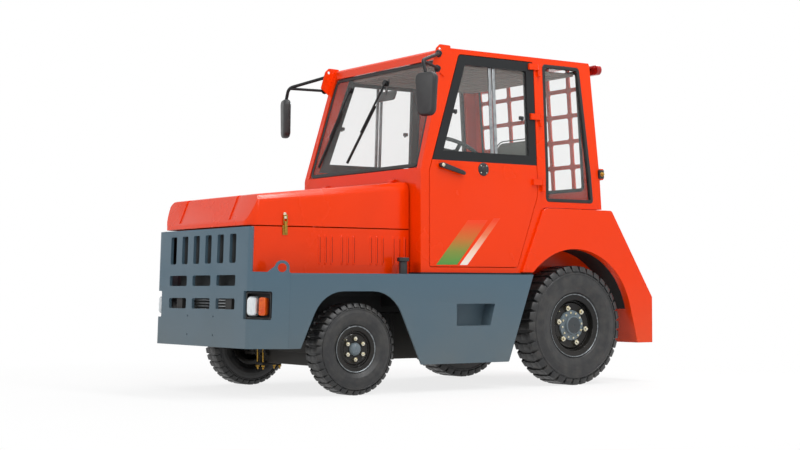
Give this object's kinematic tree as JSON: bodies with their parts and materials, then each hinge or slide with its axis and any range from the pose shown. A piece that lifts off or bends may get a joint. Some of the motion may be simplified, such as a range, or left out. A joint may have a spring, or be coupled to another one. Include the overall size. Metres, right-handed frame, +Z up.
{
  "type": "airport tow tractor",
  "caption": "Plated tow tractor with a steel cab, rear-hinged doors, lifting hood, steered front wheels, lug tyres and a stepped rear hitch.",
  "frame": {"origin": "on the ground under the middle of the bounding box", "axes": "+X forward, +Y to the driver's left, +Z up"},
  "size_m": [3.43, 1.9572, 2.3171],
  "materials": {
    "plate_paint": "semi gloss",
    "cab_paint": "gloss",
    "chassis_paint": "satin",
    "engine_iron": "matt",
    "frame_black": "satin",
    "black_plastic": "matt",
    "tyre_rubber": "matt",
    "rim_paint": "gloss",
    "window_glass": "clear",
    "lamp_clear": "clear",
    "lamp_amber": "gloss",
    "lamp_red": "gloss",
    "seat_cloth": "matt",
    "pin_steel": "worn"
  },
  "bodies": {
    "frame": {"front_plate": "plate_paint", "corner_plate_left": "plate_paint", "corner_plate_right": "plate_paint", "side_plate_left": "plate_paint", "side_plate_right": "plate_paint", "rear_plate": "plate_paint", "side_panel_left": "cab_paint", "side_panel_right": "cab_paint", "cab_front": "cab_paint", "cab_side_left": "cab_paint", "cab_side_right": "cab_paint", "cab_rear": "cab_paint", "cab_roof": "cab_paint", "fender_left": "cab_paint", "fender_right": "cab_paint", "rear_body": "cab_paint", "mirror_brackets": "cab_paint", "chassis_frame": "chassis_paint", "front_axle": "chassis_paint", "leaf_springs": "chassis_paint", "rear_axle": "chassis_paint", "drive_shaft": "chassis_paint", "tow_hitch": "chassis_paint", "cab_floor": "chassis_paint", "seat_base": "chassis_paint", "engine": "engine_iron", "radiator": "engine_iron", "mirror_arms": "frame_black", "wipers": "frame_black", "fuel_filler": "black_plastic", "dashboard": "black_plastic", "mirror_heads": "black_plastic", "lamp_boxes": "black_plastic", "cab_glass": "window_glass", "head_lenses": "lamp_clear", "turn_lenses": "lamp_amber", "tail_lamps": "lamp_red", "seat_cushion": "seat_cloth", "seat_back": "seat_cloth", "tow_pin": "pin_steel"},
    "hood": {"hood": "cab_paint"},
    "door_left": {"door_left": "cab_paint", "window_frame_left": "frame_black", "door_glass_left": "window_glass"},
    "door_right": {"door_right": "cab_paint", "window_frame_right": "frame_black", "door_glass_right": "window_glass"},
    "knuckle_left": {"knuckle_left": "chassis_paint"},
    "knuckle_right": {"knuckle_right": "chassis_paint"},
    "tie_rod": {"tie_rod": "chassis_paint"},
    "wheel_fl": {"tyre_fl": "tyre_rubber", "rim_fl": "rim_paint"},
    "wheel_fr": {"tyre_fr": "tyre_rubber", "rim_fr": "rim_paint"},
    "wheel_rl": {"tyre_rl": "tyre_rubber", "rim_rl": "rim_paint"},
    "wheel_rr": {"tyre_rr": "tyre_rubber", "rim_rr": "rim_paint"},
    "steering_wheel": {"steering_wheel": "black_plastic"}
  },
  "joints": [
    {"name": "hood_lift", "type": "hinge", "parent": "frame", "child": "hood", "pos_m": [0.487, 0, 1.404], "axis": [0, -1, 0], "range_deg": [0, 55]},
    {"name": "door_left_swing", "type": "hinge", "parent": "frame", "child": "door_left", "pos_m": [-0.5714, 0.74698, 1.48071], "axis": [0, -0.0506, 0.9987], "range_deg": [0, 80]},
    {"name": "door_right_swing", "type": "hinge", "parent": "frame", "child": "door_right", "pos_m": [-0.5714, -0.74698, 1.48071], "axis": [0, -0.0506, -0.9987], "range_deg": [0, 80]},
    {"name": "steer_left", "type": "hinge", "parent": "frame", "child": "knuckle_left", "pos_m": [0.985, 0.56, 0.294], "axis": [0, 0, 1], "range_deg": [-36, 36]},
    {"name": "steer_right", "type": "hinge", "parent": "frame", "child": "knuckle_right", "pos_m": [0.985, -0.56, 0.294], "axis": [0, 0, 1], "range_deg": [-36, 36]},
    {"name": "tie_rod_turn", "type": "hinge", "parent": "knuckle_left", "child": "tie_rod", "pos_m": [0.835, 0.56, 0.196], "axis": [0, 0, 1], "range_deg": [-36, 36]},
    {"name": "wheel_fl_spin", "type": "hinge", "parent": "knuckle_left", "child": "wheel_fl", "pos_m": [0.985, 0.675, 0.294], "axis": [0, 1, 0], "continuous": true},
    {"name": "wheel_fr_spin", "type": "hinge", "parent": "knuckle_right", "child": "wheel_fr", "pos_m": [0.985, -0.675, 0.294], "axis": [0, 1, 0], "continuous": true},
    {"name": "wheel_rl_spin", "type": "hinge", "parent": "frame", "child": "wheel_rl", "pos_m": [-0.865, 0.6475, 0.42], "axis": [0, 1, 0], "continuous": true},
    {"name": "wheel_rr_spin", "type": "hinge", "parent": "frame", "child": "wheel_rr", "pos_m": [-0.865, -0.6475, 0.42], "axis": [0, 1, 0], "continuous": true},
    {"name": "steering_wheel_turn", "type": "hinge", "parent": "frame", "child": "steering_wheel", "pos_m": [-0.375, 0, 1.68], "axis": [-0.4695, 0, 0.8829], "continuous": true}
  ],
  "couplings": [
    {"joint": "steer_right", "follows": "steer_left", "ratio": 1},
    {"joint": "tie_rod_turn", "follows": "steer_left", "ratio": -1}
  ]
}
